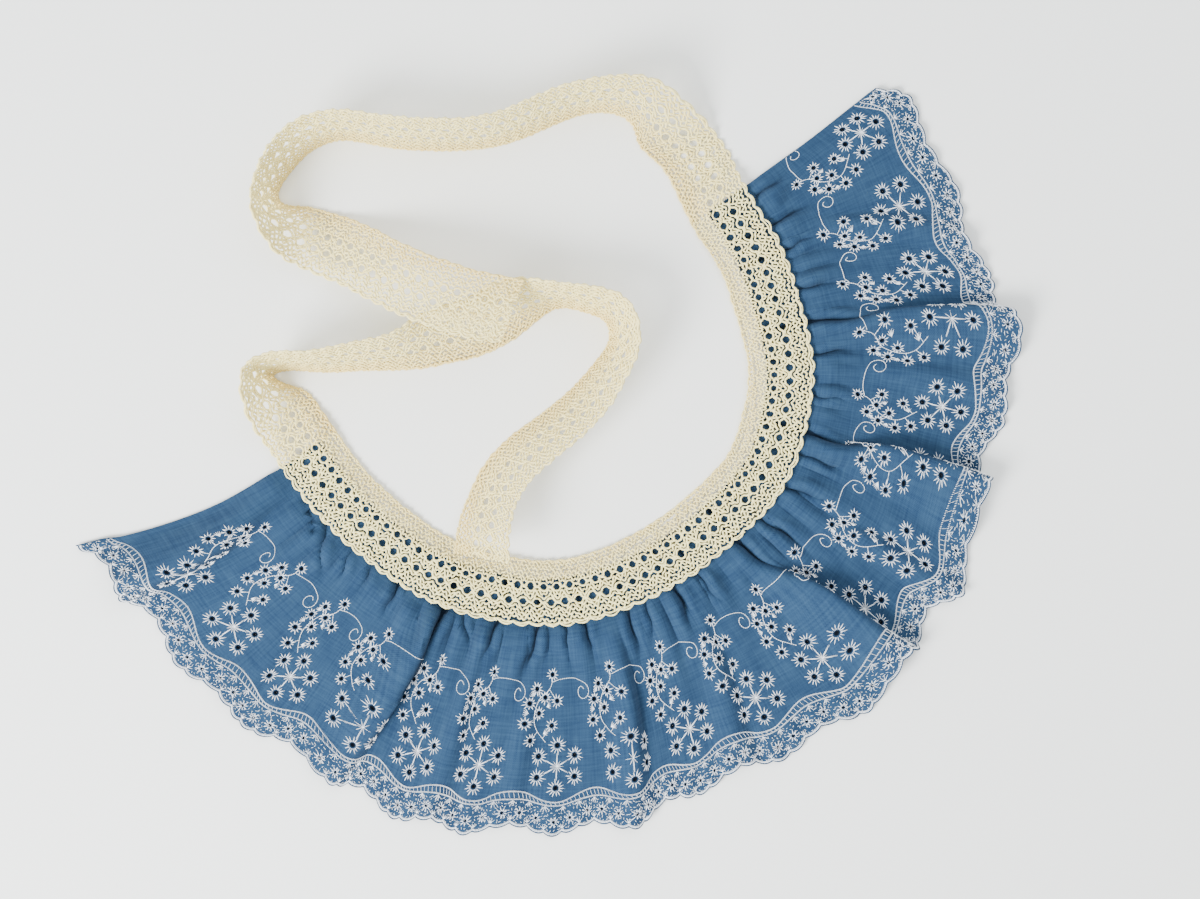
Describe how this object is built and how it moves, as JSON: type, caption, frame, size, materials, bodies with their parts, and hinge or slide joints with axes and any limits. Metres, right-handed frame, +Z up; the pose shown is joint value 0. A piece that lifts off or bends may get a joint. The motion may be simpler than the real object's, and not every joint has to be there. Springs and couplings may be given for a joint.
{
  "type": "dog cape",
  "caption": "Dog cape laid flat: a gathered eyelet chambray ruffle under a cotton lace neckband that runs on as two long ties.",
  "frame": {"origin": "middle of the laid-out cape, on the surface it lies on", "axes": "+Z up from that surface, +X along the longer side from the left tie towards the right end of the ruffle, +Y from the hem towards the ties"},
  "size_m": [0.4052, 0.3208, 0.0279],
  "materials": {
    "chambray": "soft woven blue cotton with white eyelet embroidery",
    "lace": "cream bobbin lace of matt cotton yarn"
  },
  "bodies": {
    "root": {"ruffle": "chambray", "neckband": "lace", "tie_right": "lace", "tie_left": "lace"}
  },
  "joints": []
}
